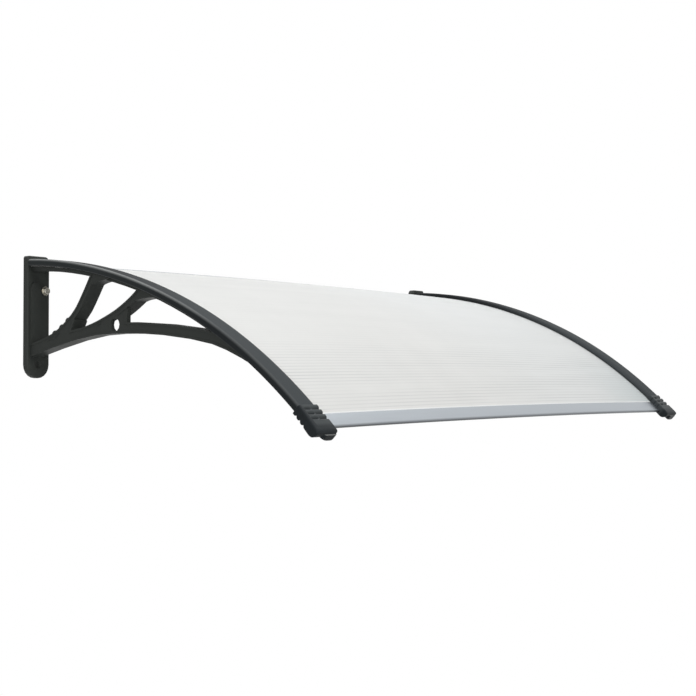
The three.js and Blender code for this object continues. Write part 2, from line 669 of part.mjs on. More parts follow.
export default canopy;
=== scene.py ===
# Door canopy: the looks of every piece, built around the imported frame.
# Metres, in the frame of the part: the wall is the plane Y = 0, the canopy reaches out
# towards -Y, and +Z is up. Pieces are drawn straight and then bent: x inwards from the outer
# side of the left cover strip, distance from the wall along the bow, and height above the bow,
# which the tops of the cover strips follow.

import math

import bmesh
import bpy
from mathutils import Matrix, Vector


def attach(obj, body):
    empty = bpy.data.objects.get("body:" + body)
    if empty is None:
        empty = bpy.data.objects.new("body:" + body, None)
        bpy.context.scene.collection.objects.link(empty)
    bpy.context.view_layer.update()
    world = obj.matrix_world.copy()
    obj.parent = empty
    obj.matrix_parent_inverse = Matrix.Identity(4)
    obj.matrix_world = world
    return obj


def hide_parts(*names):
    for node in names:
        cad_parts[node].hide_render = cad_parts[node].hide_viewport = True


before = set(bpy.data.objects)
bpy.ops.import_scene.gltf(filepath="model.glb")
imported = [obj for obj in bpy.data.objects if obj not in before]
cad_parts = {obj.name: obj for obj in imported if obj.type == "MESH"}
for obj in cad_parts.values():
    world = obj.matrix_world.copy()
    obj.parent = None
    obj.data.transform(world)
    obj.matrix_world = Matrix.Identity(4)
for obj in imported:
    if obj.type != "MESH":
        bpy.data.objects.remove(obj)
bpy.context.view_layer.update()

# The bow, as in the part
SPAN = 1.4
WALL_SLOPE = 0.0295
REAR_RADIUS = 1.196
REAR_ARC = 0.462
FRONT_RADIUS = 1.102
CANOPY_LENGTH = 0.873
FIT = 0.0003  # clearance between pieces

# Sheet
CROWN = 0.0055  # how far the sheet and its edge strips rise between the sides
SHEET_TOP = 0.0103  # depths below the bow
SHEET_UNDER = 0.0143
SHEET_SKIN = 0.0007
SHEET_EDGE = 0.006  # x of its sides, inwards
SHEET_REAR = 0.0175  # distances along the bow
SHEET_FRONT = 0.8465
FLUTE_PITCH = 0.0093
FLUTE_RIB = 0.0007
SHEET_SPANS = 20

# Cover strip
COVER_WIDTH = 0.046
COVER_WALL = 0.004
COVER_SKIRT = 0.014  # depths of its outer and inner sides
COVER_LIP = 0.010
COVER_REAR = 0.0169
COVER_FRONT = 0.8077
COVER_SPANS = 59
COVER_EDGE = 0.005  # rounding of the outer top edge
COVER_ARRIS = 0.0008  # rounding at the ends of its skirt and lip
COVER_FILLET = 0.001  # rounding in its hollow
COVER_SLOPE = 0.006  # width of the sloping inner edge of its top
COVER_SLOPE_FALL = 0.0025
COVER_SLOPE_ROUND = 0.004
COVER_INNER_ROUND = 0.0025

# Aluminium strips
STRIP_WALL = 0.0015
FRONT_STRIP_REAR = 0.821
FRONT_STRIP_FRONT = 0.852
FRONT_STRIP_UNDER = 0.023  # length of its lower side
REAR_STRIP_REAR = 0.002
REAR_STRIP_FRONT = 0.038
REAR_STRIP_UNDER = 0.018  # length of its flange
REAR_STRIP_END = 0.056  # x of its ends, inwards
STRIP_ROUND = 0.0004

# End cap
CAP_REAR = 0.808
CAP_PROUD = 0.002  # height of its top above the bow
CAP_UNDER = 0.0185  # depth of its underside
CAP_OUTER = -0.002
CAP_INNER = 0.0486
CAP_FLARE = 0.005  # outwards, from the rear of the cap to its nose
CAP_STEP = 0.0005  # between the rings of its mesh
CAP_OUTER_TOP_ROUND = 0.0045
CAP_OUTER_UNDER_ROUND = 0.003
CAP_INNER_TOP_ROUND = 0.003
CAP_INNER_UNDER_ROUND = 0.001
NOSE_ROUND = 0.0085
NOSE_UNDER_ROUND = 0.015
NOSE_CORNERS = 0.004  # rounding of the nose seen from above
RIM_ROUND = 0.0007
RIM_SHARES = (0, 0.15, 0.5)  # of that rounding, where it has rings

# Grooves between the ridges of the end cap
GROOVES = (0.8171, 0.8287, 0.8403)
GROOVE_WIDTH = 0.0023
GROOVE_DEPTH = 0.0032
PLAIN_EDGE = 0.0035  # on the left of the top, from where the grooves slope down
GROOVE_START = 0.0065  # on the left of the top, where they are at their full depth
RIB_PLACE = 0.0235  # of the low rib that divides each groove on the top
RIB_HALF = 0.0014
RIB_FOOT = 0.0034
RIB_ROUND = 0.0012
RIB_SINK = 0.3  # how far the rib lies below the ridges, as a share of the depth
UNDER_GROOVE_DEPTH = 0.0012  # of the shallow grooves below
UNDER_FLAT = 0.010  # where these end towards the outer side
UNDER_BEND = 0.006
UNDER_EDGE = 0.003  # from where they have the full depth, out to the outer side

# Lip on the nose of the end cap
LIP_REAR = 0.8545
LIP_FRONT = 0.8755
LIP_OUTER = 0.014
LIP_INNER = 0.0484
LIP_TOP = 0.0045  # depths below the bow
LIP_SHOULDER = 0.015
LIP_UNDER = 0.0205
LIP_SLANT = 0.012  # from its shoulder to its underside, inwards
LIP_TOP_ROUND = 0.001
LIP_SHOULDER_ROUND = 0.002
LIP_SLANT_ROUND = 0.004
LIP_INNER_ROUND = 0.0045
LIP_TOP_EDGE = 0.0006
LIP_UNDER_EDGE = 0.004
LIP_OUTER_CORNER = 0.008  # rounding of its front corners, seen from above
LIP_INNER_CORNER = 0.005
LIP_SHARES = (0, 0.02, 0.08, 0.15, 0.3, 0.6, 1)  # of the roundings at its ends, for its rings
LIP_MARK = 1.0  # in the UV map, what the depth below the bow is added to on the lip

# Meshes, and the CAD nodes that stay
ARC_STEPS = 5
SAME_PLACE = 1e-7  # closer than this, two points are one
SMOOTH_ANGLE = 35  # in degrees: sharper edges stay sharp
SHEET_SMOOTH_ANGLE = 20
CAD_SMOOTH_ANGLE = 28
BRACKET_BEVEL = 0.0007
BEVEL_SEGMENTS = 2
BEVEL_ANGLE = 40
SCREWS = 5  # on each side

# Marks of the materials
NOISE_RANGE = (0.3, 0.7)  # between which most of a noise lies
TONE_SCALE = 14
GRAIN_SCALE = 900
GRAIN_HEIGHT = 0.00012
DRAWN_LINES = (3, 900, 900)  # scale of the noise on drawn metal, fine across X
PLATED_SPECKS = (500, 500, 500)

# Camera, from the perspective of the photograph
CAMERA_PLACE = (-2.3556, -2.1504, -0.2390)
CAMERA_YAW = 0.90252  # to the right of +Y
CAMERA_PITCH = 0.021857  # above the horizon
FOCAL_PIXELS = 1293.9
IMAGE_PIXELS = 696
SENSOR_WIDTH = 36.0

# Studio
FLOOR_PLACE = (0, -0.4, -2.1)
FLOOR_RADIUS = 3.0
FLOOR_SEGMENTS = 96
WORLD_LIGHT = 0.24
WHITE = (1.0, 1.0, 1.0)
WARM = (1.0, 0.985, 0.96)
COOL = (0.97, 0.99, 1.0)


# Shapes


def on_bow(distance, height):
    """(y, z) of a point at a distance from the wall along the bow and a height above it."""
    rear = min(distance, REAR_ARC)
    middle = WALL_SLOPE + rear / REAR_RADIUS
    slope = middle + (distance - rear) / FRONT_RADIUS
    reach = REAR_RADIUS * (math.sin(middle) - math.sin(WALL_SLOPE))
    reach += FRONT_RADIUS * (math.sin(slope) - math.sin(middle))
    fall = REAR_RADIUS * (math.cos(WALL_SLOPE) - math.cos(middle))
    fall += FRONT_RADIUS * (math.cos(middle) - math.cos(slope))
    return -reach - height * math.sin(slope), -fall + height * math.cos(slope)


def placed(x, distance, height):
    """A point of the straight drawing, bent to its place on the left side."""
    return Vector((x - SPAN / 2, *on_bow(distance, height)))


def crown(x):
    """Rise of the sheet at x, nothing under the cover strips and CROWN in the middle."""
    half = SPAN / 2 - COVER_WIDTH
    return CROWN * max(0.0, 1 - ((x - SPAN / 2) / half) ** 2)


def spans(start, end, count):
    """The ends of a number of equal spans between two values."""
    return [start + (end - start) * i / count for i in range(count + 1)]


def sheet_stations():
    """Places across the sheet: its edges, and spans between the cover strips."""
    between_covers = spans(COVER_WIDTH, SPAN - COVER_WIDTH, SHEET_SPANS)
    return [SHEET_EDGE, *between_covers, SPAN - SHEET_EDGE]


def rounded(corners):
    """An outline through (a, b, radius) corners, with each corner rounded."""
    outline = []
    for i, (a, b, radius) in enumerate(corners):
        corner = Vector((a, b))
        if radius == 0:
            outline.append(corner)
            continue
        before = Vector(corners[i - 1][:2])
        after = Vector(corners[(i + 1) % len(corners)][:2])
        start = corner + (before - corner).normalized() * radius
        end = corner + (after - corner).normalized() * radius
        for t in spans(0, 1, ARC_STEPS):
            outline.append(start * (1 - t) ** 2 + corner * 2 * t * (1 - t) + end * t ** 2)
    return outline


def without_repeats(outline):
    """The outline with one point where two roundings meet, not two in the same place."""
    return [p for i, p in enumerate(outline) if (p - outline[i - 1]).length > SAME_PLACE]


def lengths(points):
    """Distance along a run of points, from the first."""
    total = [0.0]
    for a, b in zip(points, points[1:]):
        total.append(total[-1] + (b - a).length)
    return total


def smoothed(mesh, sharp_angle):
    """Shades a mesh smooth, except across edges sharper than an angle in degrees."""
    mesh.polygons.foreach_set("use_smooth", [True] * len(mesh.polygons))
    mesh.set_sharp_from_angle(angle=math.radians(sharp_angle))


def finished(name, builder, sharp_angle=SMOOTH_ANGLE):
    """A mesh object made of a bmesh, with outward normals."""
    bmesh.ops.recalc_face_normals(builder, faces=builder.faces)
    mesh = bpy.data.meshes.new(name)
    builder.to_mesh(mesh)
    builder.free()
    smoothed(mesh, sharp_angle)
    thing = bpy.data.objects.new(name, mesh)
    bpy.context.scene.collection.objects.link(thing)
    return thing


def loft(name, rings):
    """A closed skin through rings of points.

    Its UV map holds lengths: around a ring, and from ring to ring."""
    builder = bmesh.new()
    uv = builder.loops.layers.uv.new("Lengths")
    rows = [[builder.verts.new(point) for point in ring] for ring in rings]
    around = lengths([*rings[0], rings[0][0]])
    along = lengths([ring[0] for ring in rings])
    count = len(rings[0])
    for i in range(len(rows) - 1):
        for j in range(count):
            k = (j + 1) % count
            face = builder.faces.new((rows[i][j], rows[i][k], rows[i + 1][k], rows[i + 1][j]))
            corners = ((j, i), (j + 1, i), (j + 1, i + 1), (j, i + 1))
            for loop, (a, b) in zip(face.loops, corners):
                loop[uv].uv = around[a], along[b]
    builder.faces.new(rows[0])
    builder.faces.new(rows[-1])
    return finished(name, builder)


def across(outline, stations):
    """Rings of an outline of (distance, height) points, one for each x, raised by the crown."""
    return [[placed(x, p.x, p.y + crown(x)) for p in outline] for x in stations]


# Pieces


def make_sheet():
    """Two skins joined by ribs, with the flutes open at the sides.

    Its UV map holds (distance, x). A point of it has three numbers: its station across the
    sheet, its column along it and its level, 0 on top, 1 and 2 in the flutes, 3 below."""
    flutes = math.floor((SHEET_FRONT - SHEET_REAR - FLUTE_RIB) / FLUTE_PITCH)
    first = (SHEET_FRONT + SHEET_REAR - flutes * FLUTE_PITCH) / 2
    ribs = [first + i * FLUTE_PITCH for i in range(flutes + 1)]
    half = FLUTE_RIB / 2
    rib_sides = [rib + side for rib in ribs for side in (-half, half)]
    columns = [SHEET_REAR, *rib_sides, SHEET_FRONT]
    levels = (-SHEET_TOP, -SHEET_TOP - SHEET_SKIN, -SHEET_UNDER + SHEET_SKIN, -SHEET_UNDER)
    stations = sheet_stations()
    last = len(columns) - 1
    builder = bmesh.new()
    uv = builder.loops.layers.uv.new("Lengths")
    lattice = {}
    flat = {}
    for s, x in enumerate(stations):
        for c, distance in enumerate(columns):
            for h, height in enumerate(levels):
                if h in (0, 3) or 2 <= c <= last - 2:
                    vertex = builder.verts.new(placed(x, distance, height + crown(x)))
                    lattice[s, c, h] = vertex
                    flat[vertex] = (distance, x)

    def face(*keys):
        made = builder.faces.new([lattice[key] for key in keys])
        for loop in made.loops:
            loop[uv].uv = flat[loop.vert]

    for s in range(len(stations) - 1):
        for c in range(last):
            in_flute = c % 2 == 0 and 2 <= c < last - 2
            for h in (0, 1, 2, 3) if in_flute else (0, 3):
                face((s, c, h), (s, c + 1, h), (s + 1, c + 1, h), (s + 1, c, h))
        for c in range(2, last - 1):
            face((s, c, 1), (s, c, 2), (s + 1, c, 2), (s + 1, c, 1))
        for c in (0, last):
            face((s, c, 0), (s, c, 3), (s + 1, c, 3), (s + 1, c, 0))
    for s in (0, len(stations) - 1):
        for c in range(2, last - 1, 2):
            for h in (0, 2):
                face((s, c, h), (s, c + 1, h), (s, c + 1, h + 1), (s, c, h + 1))
        for c in range(3, last - 2, 2):
            down = [(s, c + 1, h) for h in (0, 1, 2, 3)]
            up = [(s, c, h) for h in (3, 2, 1, 0)]
            face(*down, *up)
        for edge, beside, flute in ((0, 1, 2), (last, last - 1, last - 2)):
            down = [(s, flute, h) for h in (0, 1, 2, 3)]
            face((s, edge, 0), (s, beside, 0), *down, (s, beside, 3), (s, edge, 3))
    return finished("fluted_sheet", builder, SHEET_SMOOTH_ANGLE)


def front_strip_outline():
    """Outline of (distance, height) points: a clip over the edge of the sheet, with a round nose."""
    top = -SHEET_TOP + FIT
    under = -SHEET_UNDER - FIT
    inside = SHEET_FRONT + FIT
    nose_round = (top - under) / 2 + STRIP_WALL
    lower_rear = FRONT_STRIP_FRONT - FRONT_STRIP_UNDER
    return without_repeats(rounded([
        (FRONT_STRIP_REAR, top, STRIP_ROUND),
        (inside, top, 0),
        (inside, under, 0),
        (lower_rear, under, STRIP_ROUND),
        (lower_rear, under - STRIP_WALL, STRIP_ROUND),
        (FRONT_STRIP_FRONT, under - STRIP_WALL, nose_round),
        (FRONT_STRIP_FRONT, top + STRIP_WALL, nose_round),
        (FRONT_STRIP_REAR, top + STRIP_WALL, STRIP_ROUND),
    ]))


def make_front_strip():
    return loft("front_strip", across(front_strip_outline(), sheet_stations()))


def make_rear_strip():
    """A strip on top of the rear edge of the sheet, with a web down to a flange below it."""
    top = -SHEET_TOP + FIT
    under = -SHEET_UNDER - FIT
    web = SHEET_REAR - FIT
    outline = rounded([
        (REAR_STRIP_REAR, top + STRIP_WALL, STRIP_ROUND),
        (REAR_STRIP_REAR, top, STRIP_ROUND),
        (web - STRIP_WALL, top, 0),
        (web - STRIP_WALL, under - STRIP_WALL, STRIP_ROUND),
        (web + REAR_STRIP_UNDER, under - STRIP_WALL, STRIP_ROUND),
        (web + REAR_STRIP_UNDER, under, STRIP_ROUND),
        (web, under, 0),
        (web, top, 0),
        (REAR_STRIP_FRONT, top, STRIP_ROUND),
        (REAR_STRIP_FRONT, top + STRIP_WALL, STRIP_ROUND),
    ])
    stations = spans(REAR_STRIP_END, SPAN - REAR_STRIP_END, SHEET_SPANS)
    return loft("rear_strip", across(outline, stations))


def cover_outline():
    """Outline of (x, height) points: a channel with an outer skirt and a shorter inner lip."""
    return without_repeats(rounded([
        (0, -COVER_SKIRT, COVER_ARRIS),
        (COVER_WALL, -COVER_SKIRT, COVER_ARRIS),
        (COVER_WALL, -COVER_WALL, COVER_FILLET),
        (COVER_WIDTH - COVER_WALL, -COVER_WALL, COVER_FILLET),
        (COVER_WIDTH - COVER_WALL, -COVER_LIP, COVER_ARRIS),
        (COVER_WIDTH, -COVER_LIP, COVER_ARRIS),
        (COVER_WIDTH, -COVER_SLOPE_FALL, COVER_INNER_ROUND),
        (COVER_WIDTH - COVER_SLOPE, 0, COVER_SLOPE_ROUND),
        (0, 0, COVER_EDGE),
    ]))


def make_cover(side):
    outline = cover_outline()
    rings = []
    for distance in spans(COVER_REAR, COVER_FRONT, COVER_SPANS):
        rings.append([placed(p.x, distance, p.y) for p in outline])
    if side == "right":
        rings = [[Vector((-p.x, p.y, p.z)) for p in ring] for ring in rings]
    return loft(f"{side}_cover", rings)


def quarter(gap, size):
    """How far a rounded corner of that size has drawn in, at a gap from the end of its side."""
    if gap >= size:
        return 0.0
    return size - math.sqrt(size ** 2 - (size - gap) ** 2)


def nose(distance, size):
    """How far the nose has curved at a distance, from 0 where it starts to 1 at its tip."""
    left = max(0.0, CANOPY_LENGTH - distance) / size
    return max(0.0, 1 - math.sqrt(left)) ** 2


def cap_ring(distance, side):
    """Outline of the end cap at a distance, from below its mouth round to above it, and its room.

    The grooves on the top face the same way on both caps: their plain edge is on the left."""
    tip = -CAP_UNDER + NOSE_UNDER_ROUND
    rim = quarter(distance - CAP_REAR, RIM_ROUND)
    top = CAP_PROUD + (tip - CAP_PROUD) * nose(distance, NOSE_ROUND) - rim
    under = -CAP_UNDER + (tip + CAP_UNDER) * nose(distance, NOSE_UNDER_ROUND) + rim
    corner = quarter(CANOPY_LENGTH - distance, NOSE_CORNERS)
    flare = CAP_FLARE * (distance - CAP_REAR) / (CANOPY_LENGTH - CAP_REAR)
    outer = CAP_OUTER - flare + rim + corner
    inner = CAP_INNER - corner
    dip = sum(math.exp(-((distance - groove) / GROOVE_WIDTH) ** 2) for groove in GROOVES)
    low = top - dip * GROOVE_DEPTH
    rib = top - dip * GROOVE_DEPTH * RIB_SINK
    flat = under + dip * UNDER_GROOVE_DEPTH
    edge = under + dip * GROOVE_DEPTH
    share = (top - under) / (CAP_PROUD + CAP_UNDER)
    around_strip = distance > FRONT_STRIP_REAR - 2 * FIT
    clearance = STRIP_WALL + 2 * FIT if around_strip else FIT
    room_top = -SHEET_TOP + clearance
    room_under = -SHEET_UNDER - clearance
    if distance > FRONT_STRIP_FRONT + FIT:
        room_top = top - (CAP_PROUD - room_top) * share
        room_under = top - (CAP_PROUD - room_under) * share
    over = [
        (PLAIN_EDGE, top, 0),
        ((PLAIN_EDGE + GROOVE_START) / 2, (top + low) / 2, 0),
        (GROOVE_START, low, 0),
        (RIB_PLACE - RIB_FOOT, low, 0),
        (RIB_PLACE - RIB_HALF, rib, RIB_ROUND * share),
        (RIB_PLACE + RIB_HALF, rib, RIB_ROUND * share),
        (RIB_PLACE + RIB_FOOT, low, 0),
    ]
    outer_top, inner_top = top, low
    if side == "right":
        over = [(COVER_WIDTH - x, height, size) for x, height, size in reversed(over)]
        outer_top, inner_top = low, top
    outline = rounded([
        (inner, room_under, 0),
        (inner, flat, CAP_INNER_UNDER_ROUND * share),
        (UNDER_FLAT, flat, 0),
        (UNDER_BEND, (flat + edge) / 2, 0),
        (UNDER_EDGE, edge, 0),
        (outer, edge, CAP_OUTER_UNDER_ROUND * share),
        (outer, outer_top, CAP_OUTER_TOP_ROUND * share),
        *over,
        (inner, inner_top, CAP_INNER_TOP_ROUND * share),
        (inner, room_top, 0),
    ])
    room_end = SHEET_EDGE - FIT
    return outline, [(room_end, room_top), (room_end, room_under)]


def lip_ring(distance):
    """Outline of the lip on the nose of the left cap at a distance."""
    left = LIP_FRONT - distance
    gap = min(distance - LIP_REAR, left)
    top = -LIP_TOP - quarter(gap, LIP_TOP_EDGE)
    under = -LIP_UNDER + quarter(gap, LIP_UNDER_EDGE)
    outer = LIP_OUTER + quarter(left, LIP_OUTER_CORNER)
    inner = LIP_INNER - quarter(left, LIP_INNER_CORNER)
    return rounded([
        (inner, top, LIP_TOP_ROUND),
        (outer, top, LIP_TOP_ROUND),
        (outer, -LIP_SHOULDER, LIP_SHOULDER_ROUND),
        (outer + LIP_SLANT, under, LIP_SLANT_ROUND),
        (inner, under, LIP_INNER_ROUND),
    ])


def make_cap(side):
    """A moulded cap with rounded ridges, open inwards for the sheet and the front strip.

    The right cap is mirrored, apart from its lip and the grooves on its top, which face the
    same way on both caps.
    The UV map holds (x, distance), and on the lip (x, LIP_MARK and the depth below the bow)."""
    turn = 1 if side == "left" else -1
    builder = bmesh.new()
    uv = builder.loops.layers.uv.new("Lengths")
    flat = {}

    def points(outline, distance, on_lip=False):
        made = []
        for x, height in outline:
            point = placed(COVER_WIDTH - x if on_lip and side == "right" else x, distance, height)
            vertex = builder.verts.new((turn * point.x, point.y, point.z))
            flat[vertex] = (x, LIP_MARK - height if on_lip else distance)
            made.append(vertex)
        return made

    def skin(rows):
        for before, after in zip(rows, rows[1:]):
            for j in range(len(before)):
                builder.faces.new((before[j - 1], before[j], after[j], after[j - 1]))

    end = FRONT_STRIP_FRONT + FIT
    step = FRONT_STRIP_REAR - 2 * FIT
    rim = [CAP_REAR + RIM_ROUND * share for share in RIM_SHARES]
    even = spans(CAP_REAR + RIM_ROUND, end, round((end - CAP_REAR) / CAP_STEP))
    rows = []
    for distance in sorted({*rim, *even, step, step + FIT}):
        outline, room = cap_ring(distance, side)
        rows.append(points([*outline, *room], distance))
    skin(rows)
    builder.faces.new(rows[0])
    builder.faces.new([rows[-1][-3], rows[-1][-2], rows[-1][-1], rows[-1][0]])

    nose_length = CANOPY_LENGTH - end
    nose_count = round(nose_length / CAP_STEP)
    front = [rows[-1][:-2]]
    for i in range(1, nose_count):
        distance = CANOPY_LENGTH - nose_length * (1 - i / nose_count) ** 2
        front.append(points(cap_ring(distance, side)[0], distance))
    skin(front)
    builder.faces.new(front[-1])

    stations = [LIP_REAR + LIP_UNDER_EDGE * share for share in LIP_SHARES]
    stations += [LIP_FRONT - LIP_OUTER_CORNER * share for share in reversed(LIP_SHARES)]
    lip = [points(lip_ring(distance), distance, on_lip=True) for distance in stations]
    skin(lip)
    builder.faces.new(lip[0])
    builder.faces.new(lip[-1])
    for face in builder.faces:
        for loop in face.loops:
            loop[uv].uv = flat[loop.vert]
    return finished(f"{side}_cap", builder)


# Nodes of materials


def principled(name):
    material = bpy.data.materials.new(name)
    material.use_nodes = True
    tree = material.node_tree
    return material, tree, tree.nodes["Principled BSDF"]


def feed(tree, socket, value):
    """Links a socket to another one, or sets its value."""
    if isinstance(value, bpy.types.NodeSocket):
        tree.links.new(value, socket)
    else:
        socket.default_value = value


def node(tree, kind, **inputs):
    """A new node with its sockets fed, where _ in a key stands for a space."""
    made = tree.nodes.new(kind)
    for key, value in inputs.items():
        feed(tree, made.inputs[key.replace("_", " ")], value)
    return made


def calc(tree, operation, *values):
    made = tree.nodes.new("ShaderNodeMath")
    made.operation = operation
    for socket, value in zip(made.inputs, values):
        feed(tree, socket, value)
    return made.outputs["Value"]


def object_place(tree):
    return tree.nodes.new("ShaderNodeTexCoord").outputs["Object"]


def length_map(tree):
    made = tree.nodes.new("ShaderNodeUVMap")
    made.uv_map = "Lengths"
    return made.outputs["UV"]


def parts_of(tree, vector):
    """The first two parts of a vector."""
    split = node(tree, "ShaderNodeSeparateXYZ", Vector=vector)
    return split.outputs["X"], split.outputs["Y"]


def stretched(tree, vector, scale):
    return node(tree, "ShaderNodeMapping", Vector=vector, Scale=scale).outputs["Vector"]


def noise(tree, vector, scale, detail):
    made = node(tree, "ShaderNodeTexNoise", Vector=vector, Scale=scale, Detail=detail)
    return made.outputs["Fac"]


def mapped(tree, value, source, target, kind):
    """A value taken from one range to another, and held at its ends."""
    made = node(tree, "ShaderNodeMapRange", Value=value)
    made.interpolation_type = kind
    feed(tree, made.inputs["From Min"], source[0])
    feed(tree, made.inputs["From Max"], source[1])
    feed(tree, made.inputs["To Min"], target[0])
    feed(tree, made.inputs["To Max"], target[1])
    return made.outputs["Result"]


def between(tree, factor, low, high):
    """A value that runs from low to high as the factor goes through the middle of a noise."""
    return mapped(tree, factor, NOISE_RANGE, (low, high), "LINEAR")


def ramp(tree, value, start, end):
    """0 up to the start, 1 from the end on, and smooth between."""
    return mapped(tree, value, (start, end), (0.0, 1.0), "SMOOTHSTEP")


def band(tree, value, centre, half):
    """1 where a value is at the centre, falling to 0 at half a width from it."""
    away = calc(tree, "ABSOLUTE", calc(tree, "SUBTRACT", value, centre))
    return mapped(tree, away, (0.0, half), (1.0, 0.0), "SMOOTHSTEP")


def less(tree, amount):
    """What an amount leaves of 1."""
    return calc(tree, "SUBTRACT", 1.0, amount)


def mix(tree, factor, first, second):
    """A colour between two, each of them three numbers or a socket."""
    made = tree.nodes.new("ShaderNodeMix")
    made.data_type = "RGBA"
    feed(tree, made.inputs["Factor"], factor)
    for key, colour in (("A", first), ("B", second)):
        plain = isinstance(colour, tuple)
        feed(tree, made.inputs[key], (*colour, 1) if plain else colour)
    return next(s for s in made.outputs if s.type == "RGBA")


def bumped(tree, shader, height, distance, strength):
    made = node(tree, "ShaderNodeBump", Height=height, Distance=distance, Strength=strength)
    feed(tree, shader.inputs["Normal"], made.outputs["Normal"])


# Materials


def moulded(name, roughness, specular):
    """Moulded plastic with fine grain and slow changes of gloss, without its colour."""
    material, tree, shader = principled(name)
    place = object_place(tree)
    slow = noise(tree, place, TONE_SCALE, detail=4)
    grain = noise(tree, place, GRAIN_SCALE, detail=2)
    feed(tree, shader.inputs["Roughness"], between(tree, slow, *roughness))
    feed(tree, shader.inputs["Specular IOR Level"], specular)
    bumped(tree, shader, grain, distance=GRAIN_HEIGHT, strength=0.5)
    return material, tree, shader, slow


def bracket_plastic():
    material, tree, shader, slow = moulded("bracket_black", roughness=(0.41, 0.53), specular=0.08)
    dark = (0.036, 0.040, 0.037)
    light = (0.046, 0.050, 0.047)
    feed(tree, shader.inputs["Base Color"], mix(tree, slow, dark, light))
    return material


def cap_plastic():
    """Moulded plastic with painted light on the tops of the ridges that stand up, left out of the
    grooves as painted shade, and a painted highlight along the ledge on the lip.
    """
    dark = (0.014, 0.017, 0.019)
    light = (0.021, 0.025, 0.028)
    # painted light: a paler colour on the tops of the ridges, where the light falls
    crest_highlight = (0.046, 0.052, 0.055)
    # painted highlight: a pale line along the ledge on the lip
    ledge_highlight = (0.15, 0.155, 0.155)
    ledge_highlight_half = 0.0016
    groove_half = GROOVE_WIDTH * 1.2
    groove_shade = 0.8  # of the painted light on the ridges, how much is missing in a groove, which leaves painted shade there
    ridges_end = (0.850, 0.862)
    outer_edge = (0.002, 0.006)
    material, tree, shader, slow = moulded("cap_black", roughness=(0.29, 0.41), specular=0.06)
    x, distance = parts_of(tree, length_map(tree))
    rear, middle, front = [band(tree, distance, groove, groove_half) for groove in GROOVES]
    in_groove = calc(tree, "MAXIMUM", rear, calc(tree, "MAXIMUM", middle, front))
    crest = less(tree, calc(tree, "MULTIPLY", in_groove, groove_shade))
    on_ridges = less(tree, ramp(tree, distance, *ridges_end))
    on_top = calc(tree, "MULTIPLY", on_ridges, ramp(tree, x, *outer_edge))
    # painted light on the ridge tops, with painted shade in the grooves
    crest_highlight_mask = calc(tree, "MULTIPLY", on_top, crest)
    ridged = mix(tree, crest_highlight_mask, mix(tree, slow, dark, light), crest_highlight)
    # painted highlight along the ledge on the lip
    ledge_highlight_mask = band(tree, distance, LIP_MARK + LIP_TOP, ledge_highlight_half)
    feed(tree, shader.inputs["Base Color"], mix(tree, ledge_highlight_mask, ridged, ledge_highlight))
    return material


def cover_plastic():
    """Extruded plastic with faint lines and dust, and painted light and shade: the top and the side
    have their own colours, which change along it, and a painted highlight on the outer top edge and
    at the foot of the skirt.
    """
    # painted light and shade: the top and the side have their own colours, as the light falls on
    # them, and these change from the rear to the front
    painted_rear_side = (0.034, 0.039, 0.040)
    painted_front_side = (0.019, 0.022, 0.024)
    painted_rear_top = (0.012, 0.013, 0.014)
    painted_front_top = (0.050, 0.056, 0.060)
    dust = (0.045, 0.049, 0.050)
    # painted highlight along the rounded outer top edge, fainter at the foot of the skirt, fading
    # towards the front
    edge_highlight = (0.27, 0.28, 0.28)
    light_change = (0.15, 0.55)  # lengths along the strip, over which the painted light and shade change
    highlight_fade = (0.30, 0.62)
    highlight_lost = 0.8  # share of the painted highlight that is gone from there on
    highlight_gloss = 0.22  # how much less rough the painted highlight is
    foot_highlight = 0.4  # of the painted highlight at the lower edge, as a share of that at the outer edge
    dust_share = 0.3
    line_stretch = (900, 6, 1)
    slow_scale = 9
    material, tree, shader = principled("cover_black")
    lines = noise(tree, stretched(tree, length_map(tree), line_stretch), 1.0, detail=3)
    slow = noise(tree, object_place(tree), slow_scale, detail=4)
    around, along = parts_of(tree, length_map(tree))
    outline = cover_outline()
    total = lengths([*outline, outline[0]])
    edge_place = total[-2] - COVER_EDGE * 0.85  # about the middle of the rounding

    # painted light and shade, by the length along the strip and between its top and side
    front = ramp(tree, along, *light_change)
    side = mix(tree, front, painted_rear_side, painted_front_side)
    top = mix(tree, front, painted_rear_top, painted_front_top)
    on_side = ramp(tree, around, edge_place - COVER_EDGE, edge_place + COVER_EDGE)
    body = mix(tree, on_side, top, side)
    dusty = mix(tree, calc(tree, "MULTIPLY", slow, dust_share), body, dust)

    # painted highlight on the outer edge and at the foot of the skirt
    outer_edge = band(tree, around, edge_place, COVER_EDGE)
    at_foot = band(tree, around, total[-1], COVER_EDGE * 0.3)
    low_edge = calc(tree, "MULTIPLY", at_foot, foot_highlight)
    edges = calc(tree, "MAXIMUM", outer_edge, low_edge)
    lost = calc(tree, "MULTIPLY", ramp(tree, along, *highlight_fade), highlight_lost)
    uneven = calc(tree, "MULTIPLY", less(tree, lost), between(tree, slow, low=0.7, high=1.0))
    highlight_mask = calc(tree, "MULTIPLY", edges, uneven)
    feed(tree, shader.inputs["Base Color"], mix(tree, highlight_mask, dusty, edge_highlight))

    rough = between(tree, lines, low=0.51, high=0.62)
    glossier = calc(tree, "SUBTRACT", rough, calc(tree, "MULTIPLY", highlight_mask, highlight_gloss))
    feed(tree, shader.inputs["Roughness"], glossier)
    feed(tree, shader.inputs["Specular IOR Level"], 0.03)
    bumped(tree, shader, lines, distance=0.00008, strength=0.6)
    return material


